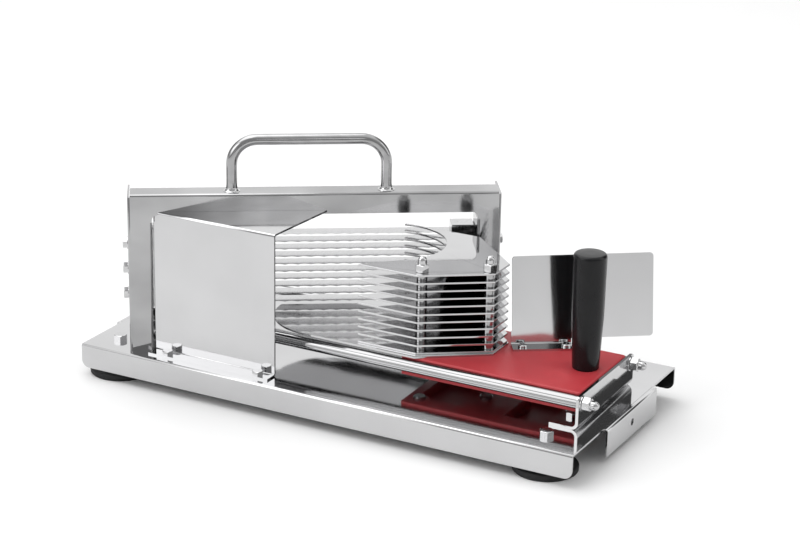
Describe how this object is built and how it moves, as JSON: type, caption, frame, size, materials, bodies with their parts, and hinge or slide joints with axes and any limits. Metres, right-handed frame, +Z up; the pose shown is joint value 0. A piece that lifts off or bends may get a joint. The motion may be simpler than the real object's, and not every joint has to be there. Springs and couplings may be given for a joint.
{
  "type": "manual vegetable slicer",
  "caption": "Hand-pushed stainless slicer: a carriage on two rods drives a stack of fins and a tray between scalloped blades held in an askew portal with a carry handle.",
  "frame": {"origin": "under the middle of the base, on the surface that the feet stand on", "axes": "+X along the base towards the grip, +Y towards the back, +Z up"},
  "size_m": [0.438, 0.198, 0.2029],
  "materials": {
    "polished_steel": "mirror-polished stainless sheet with soft folds",
    "bar_steel": "polished round stainless bar",
    "blade_steel": "ground blade steel with a bright scalloped edge",
    "hardware_steel": "bright stainless fasteners",
    "carriage_plastic": "red machined polyethylene, satin",
    "grip_plastic": "black moulded thermoset, glossy",
    "foot_rubber": "black suction rubber"
  },
  "bodies": {
    "base": {"base_tray": "polished_steel", "blade_01": "blade_steel", "blade_02": "blade_steel", "blade_03": "blade_steel", "blade_04": "blade_steel", "blade_05": "blade_steel", "blade_06": "blade_steel", "blade_07": "blade_steel", "blade_08": "blade_steel", "blade_09": "blade_steel", "blade_10": "blade_steel", "blade_frame": "polished_steel", "blade_holder_left": "blade_steel", "blade_holder_right": "blade_steel", "blade_pins": "hardware_steel", "bracket_bolts": "hardware_steel", "carry_handle": "bar_steel", "end_bracket_left": "polished_steel", "end_bracket_right": "polished_steel", "end_tab_left": "polished_steel", "end_tab_right": "polished_steel", "foot_bolts": "hardware_steel", "front_guard": "polished_steel", "guard_bolts": "hardware_steel", "guide_rod_back": "bar_steel", "guide_rod_front": "bar_steel", "handle_collars": "polished_steel", "handle_screws": "hardware_steel", "rod_acorn_nuts": "hardware_steel", "rod_washers": "hardware_steel", "suction_foot_back_left": "foot_rubber", "suction_foot_back_right": "foot_rubber", "suction_foot_front_left": "foot_rubber", "suction_foot_front_right": "foot_rubber", "tension_bolts_left": "hardware_steel", "tension_bolts_right": "hardware_steel"},
    "carriage": {"carriage_block": "carriage_plastic", "food_tray": "polished_steel", "grip_handle": "grip_plastic", "grip_stud": "hardware_steel", "hand_guard": "polished_steel", "hand_guard_screws": "hardware_steel", "pusher_acorn_nuts": "hardware_steel", "pusher_bolts": "hardware_steel", "pusher_fin_01": "polished_steel", "pusher_fin_02": "polished_steel", "pusher_fin_03": "polished_steel", "pusher_fin_04": "polished_steel", "pusher_fin_05": "polished_steel", "pusher_fin_06": "polished_steel", "pusher_fin_07": "polished_steel", "pusher_fin_08": "polished_steel", "pusher_fin_09": "polished_steel", "pusher_fin_10": "polished_steel", "pusher_fin_11": "polished_steel", "pusher_spacers": "bar_steel"}
  },
  "joints": [
    {"name": "carriage_slide", "type": "slide", "parent": "base", "child": "carriage", "axis": [-1, 0, 0], "range_m": [0, 0.102]}
  ]
}
